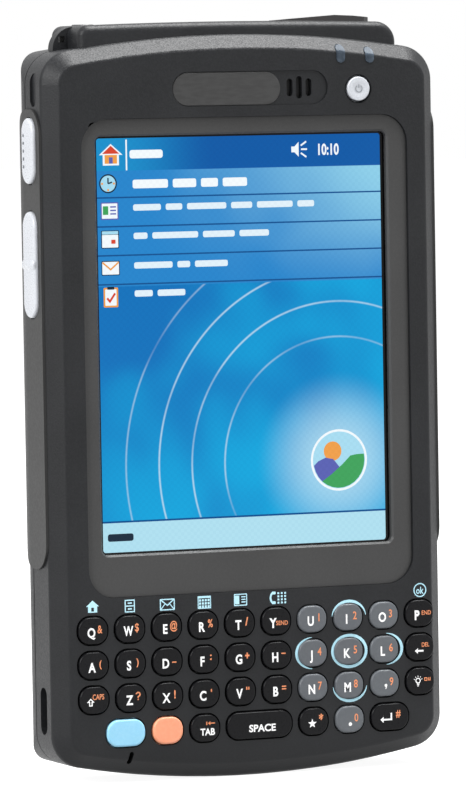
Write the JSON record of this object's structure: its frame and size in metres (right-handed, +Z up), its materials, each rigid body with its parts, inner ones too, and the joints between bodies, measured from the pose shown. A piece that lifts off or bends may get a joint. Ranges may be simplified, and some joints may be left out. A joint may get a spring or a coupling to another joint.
{
  "type": "portable barcode data terminal",
  "caption": "Handheld data terminal with a touch display, a small letter keyboard, side buttons and a scanner in its top end.",
  "frame": {"origin": "bottom centre of the whole, under the middle of its foot", "axes": "+Z up along the terminal's length, -Y out of its display face, +X to the right of someone who faces the display"},
  "size_m": [0.0757, 0.0182, 0.1326],
  "materials": {
    "housing": "fine textured moulded plastic",
    "grip": "satin soft-touch elastomer",
    "bezel": "satin painted plastic",
    "touch_glass": "clear glass",
    "display": "opaque display panel",
    "circuit_board": "solder mask",
    "silicone": "matte silicone",
    "light_pipe": "clear moulded acrylic",
    "speaker_can": "matte",
    "scan_window": "polished dark acrylic",
    "engine_body": "matte moulded plastic",
    "battery_can": "wrapped aluminium can",
    "screw_steel": "black-plated steel",
    "connector": "matte connector plastic with gilt contacts",
    "light_button": "pearl silver-white plastic",
    "door": "fine textured moulded plastic",
    "stylus": "satin",
    "dark_key": "semi-gloss key",
    "gray_key": "semi-gloss key",
    "blue_key": "translucent light blue key",
    "orange_key": "translucent light orange key"
  },
  "bodies": {
    "housing": {"front_housing": "housing", "rear_housing": "housing", "left_grip": "grip", "right_grip": "grip", "display_bezel": "bezel", "touch_panel": "touch_glass", "lcd_module": "display", "main_board": "circuit_board", "keypad_sheet": "silicone", "status_light_pipes": "light_pipe", "speaker": "speaker_can", "scanner_cover": "housing", "scan_window": "scan_window", "scan_engine": "engine_body", "battery_pack": "battery_can", "housing_screws": "screw_steel", "dock_connector": "connector"},
    "key_q": {"key_q": "dark_key"},
    "key_w": {"key_w": "dark_key"},
    "key_e": {"key_e": "dark_key"},
    "key_r": {"key_r": "dark_key"},
    "key_t": {"key_t": "dark_key"},
    "key_y": {"key_y": "dark_key"},
    "key_u": {"key_u": "gray_key"},
    "key_i": {"key_i": "gray_key"},
    "key_o": {"key_o": "gray_key"},
    "key_p": {"key_p": "dark_key"},
    "key_a": {"key_a": "dark_key"},
    "key_s": {"key_s": "dark_key"},
    "key_d": {"key_d": "dark_key"},
    "key_f": {"key_f": "dark_key"},
    "key_g": {"key_g": "dark_key"},
    "key_h": {"key_h": "dark_key"},
    "key_j": {"key_j": "gray_key"},
    "key_k": {"key_k": "gray_key"},
    "key_l": {"key_l": "gray_key"},
    "key_z": {"key_z": "dark_key"},
    "key_x": {"key_x": "dark_key"},
    "key_c": {"key_c": "dark_key"},
    "key_v": {"key_v": "dark_key"},
    "key_b": {"key_b": "dark_key"},
    "key_n": {"key_n": "gray_key"},
    "key_m": {"key_m": "gray_key"},
    "key_backspace": {"key_backspace": "dark_key"},
    "key_shift": {"key_shift": "dark_key"},
    "key_comma": {"key_comma": "gray_key"},
    "key_backlight": {"key_backlight": "dark_key"},
    "key_blue": {"key_blue": "blue_key"},
    "key_orange": {"key_orange": "orange_key"},
    "key_tab": {"key_tab": "dark_key"},
    "key_space": {"key_space": "dark_key"},
    "key_star": {"key_star": "dark_key"},
    "key_period": {"key_period": "gray_key"},
    "key_enter": {"key_enter": "dark_key"},
    "power_button": {"power_button": "light_button"},
    "scan_button": {"scan_button": "light_button"},
    "battery_latch": {"battery_latch": "door"},
    "rocker_button": {"rocker_button": "light_button"},
    "battery_door": {"battery_door": "door"},
    "stylus": {"stylus": "stylus"}
  },
  "joints": [
    {"name": "power_button_press", "type": "slide", "parent": "housing", "child": "power_button", "axis": [0, 1, 0], "range_m": [0, 0.0005], "stiffness_N_per_m": 600},
    {"name": "scan_button_press", "type": "slide", "parent": "housing", "child": "scan_button", "axis": [1, 0, 0], "range_m": [0, 0.0004], "stiffness_N_per_m": 800},
    {"name": "battery_latch_slide", "type": "slide", "parent": "housing", "child": "battery_latch", "axis": [0, 0, -1], "range_m": [0, 0.0022], "stiffness_N_per_m": 250},
    {"name": "rocker_tilt", "type": "hinge", "parent": "housing", "child": "rocker_button", "pos_m": [-0.03525, -0.00155, 0.0902], "axis": [0, 1, 0], "range_deg": [-2.5, 2.5], "stiffness_Nm_per_rad": 0.06},
    {"name": "battery_door_hinge", "type": "hinge", "parent": "housing", "child": "battery_door", "pos_m": [0, 0.00835, 0.0883], "axis": [1, 0, 0], "range_deg": [0, 85]},
    {"name": "stylus_slide", "type": "slide", "parent": "housing", "child": "stylus", "axis": [0, 0, 1], "range_m": [0, 0.102]},
    {"name": "key_q_press", "type": "slide", "parent": "housing", "child": "key_q", "axis": [0, 1, 0], "range_m": [0, 0.0004], "stiffness_N_per_m": 600},
    {"name": "key_w_press", "type": "slide", "parent": "housing", "child": "key_w", "axis": [0, 1, 0], "range_m": [0, 0.0004], "stiffness_N_per_m": 600},
    {"name": "key_e_press", "type": "slide", "parent": "housing", "child": "key_e", "axis": [0, 1, 0], "range_m": [0, 0.0004], "stiffness_N_per_m": 600},
    {"name": "key_r_press", "type": "slide", "parent": "housing", "child": "key_r", "axis": [0, 1, 0], "range_m": [0, 0.0004], "stiffness_N_per_m": 600},
    {"name": "key_t_press", "type": "slide", "parent": "housing", "child": "key_t", "axis": [0, 1, 0], "range_m": [0, 0.0004], "stiffness_N_per_m": 600},
    {"name": "key_y_press", "type": "slide", "parent": "housing", "child": "key_y", "axis": [0, 1, 0], "range_m": [0, 0.0004], "stiffness_N_per_m": 600},
    {"name": "key_u_press", "type": "slide", "parent": "housing", "child": "key_u", "axis": [0, 1, 0], "range_m": [0, 0.0004], "stiffness_N_per_m": 600},
    {"name": "key_i_press", "type": "slide", "parent": "housing", "child": "key_i", "axis": [0, 1, 0], "range_m": [0, 0.0004], "stiffness_N_per_m": 600},
    {"name": "key_o_press", "type": "slide", "parent": "housing", "child": "key_o", "axis": [0, 1, 0], "range_m": [0, 0.0004], "stiffness_N_per_m": 600},
    {"name": "key_p_press", "type": "slide", "parent": "housing", "child": "key_p", "axis": [0, 1, 0], "range_m": [0, 0.0004], "stiffness_N_per_m": 600},
    {"name": "key_a_press", "type": "slide", "parent": "housing", "child": "key_a", "axis": [0, 1, 0], "range_m": [0, 0.0004], "stiffness_N_per_m": 600},
    {"name": "key_s_press", "type": "slide", "parent": "housing", "child": "key_s", "axis": [0, 1, 0], "range_m": [0, 0.0004], "stiffness_N_per_m": 600},
    {"name": "key_d_press", "type": "slide", "parent": "housing", "child": "key_d", "axis": [0, 1, 0], "range_m": [0, 0.0004], "stiffness_N_per_m": 600},
    {"name": "key_f_press", "type": "slide", "parent": "housing", "child": "key_f", "axis": [0, 1, 0], "range_m": [0, 0.0004], "stiffness_N_per_m": 600},
    {"name": "key_g_press", "type": "slide", "parent": "housing", "child": "key_g", "axis": [0, 1, 0], "range_m": [0, 0.0004], "stiffness_N_per_m": 600},
    {"name": "key_h_press", "type": "slide", "parent": "housing", "child": "key_h", "axis": [0, 1, 0], "range_m": [0, 0.0004], "stiffness_N_per_m": 600},
    {"name": "key_j_press", "type": "slide", "parent": "housing", "child": "key_j", "axis": [0, 1, 0], "range_m": [0, 0.0004], "stiffness_N_per_m": 600},
    {"name": "key_k_press", "type": "slide", "parent": "housing", "child": "key_k", "axis": [0, 1, 0], "range_m": [0, 0.0004], "stiffness_N_per_m": 600},
    {"name": "key_l_press", "type": "slide", "parent": "housing", "child": "key_l", "axis": [0, 1, 0], "range_m": [0, 0.0004], "stiffness_N_per_m": 600},
    {"name": "key_z_press", "type": "slide", "parent": "housing", "child": "key_z", "axis": [0, 1, 0], "range_m": [0, 0.0004], "stiffness_N_per_m": 600},
    {"name": "key_x_press", "type": "slide", "parent": "housing", "child": "key_x", "axis": [0, 1, 0], "range_m": [0, 0.0004], "stiffness_N_per_m": 600},
    {"name": "key_c_press", "type": "slide", "parent": "housing", "child": "key_c", "axis": [0, 1, 0], "range_m": [0, 0.0004], "stiffness_N_per_m": 600},
    {"name": "key_v_press", "type": "slide", "parent": "housing", "child": "key_v", "axis": [0, 1, 0], "range_m": [0, 0.0004], "stiffness_N_per_m": 600},
    {"name": "key_b_press", "type": "slide", "parent": "housing", "child": "key_b", "axis": [0, 1, 0], "range_m": [0, 0.0004], "stiffness_N_per_m": 600},
    {"name": "key_n_press", "type": "slide", "parent": "housing", "child": "key_n", "axis": [0, 1, 0], "range_m": [0, 0.0004], "stiffness_N_per_m": 600},
    {"name": "key_m_press", "type": "slide", "parent": "housing", "child": "key_m", "axis": [0, 1, 0], "range_m": [0, 0.0004], "stiffness_N_per_m": 600},
    {"name": "key_backspace_press", "type": "slide", "parent": "housing", "child": "key_backspace", "axis": [0, 1, 0], "range_m": [0, 0.0004], "stiffness_N_per_m": 600},
    {"name": "key_shift_press", "type": "slide", "parent": "housing", "child": "key_shift", "axis": [0, 1, 0], "range_m": [0, 0.0004], "stiffness_N_per_m": 600},
    {"name": "key_comma_press", "type": "slide", "parent": "housing", "child": "key_comma", "axis": [0, 1, 0], "range_m": [0, 0.0004], "stiffness_N_per_m": 600},
    {"name": "key_backlight_press", "type": "slide", "parent": "housing", "child": "key_backlight", "axis": [0, 1, 0], "range_m": [0, 0.0004], "stiffness_N_per_m": 600},
    {"name": "key_blue_press", "type": "slide", "parent": "housing", "child": "key_blue", "axis": [0, 1, 0], "range_m": [0, 0.0004], "stiffness_N_per_m": 600},
    {"name": "key_orange_press", "type": "slide", "parent": "housing", "child": "key_orange", "axis": [0, 1, 0], "range_m": [0, 0.0004], "stiffness_N_per_m": 600},
    {"name": "key_tab_press", "type": "slide", "parent": "housing", "child": "key_tab", "axis": [0, 1, 0], "range_m": [0, 0.0004], "stiffness_N_per_m": 600},
    {"name": "key_space_press", "type": "slide", "parent": "housing", "child": "key_space", "axis": [0, 1, 0], "range_m": [0, 0.0004], "stiffness_N_per_m": 600},
    {"name": "key_star_press", "type": "slide", "parent": "housing", "child": "key_star", "axis": [0, 1, 0], "range_m": [0, 0.0004], "stiffness_N_per_m": 600},
    {"name": "key_period_press", "type": "slide", "parent": "housing", "child": "key_period", "axis": [0, 1, 0], "range_m": [0, 0.0004], "stiffness_N_per_m": 600},
    {"name": "key_enter_press", "type": "slide", "parent": "housing", "child": "key_enter", "axis": [0, 1, 0], "range_m": [0, 0.0004], "stiffness_N_per_m": 600}
  ]
}
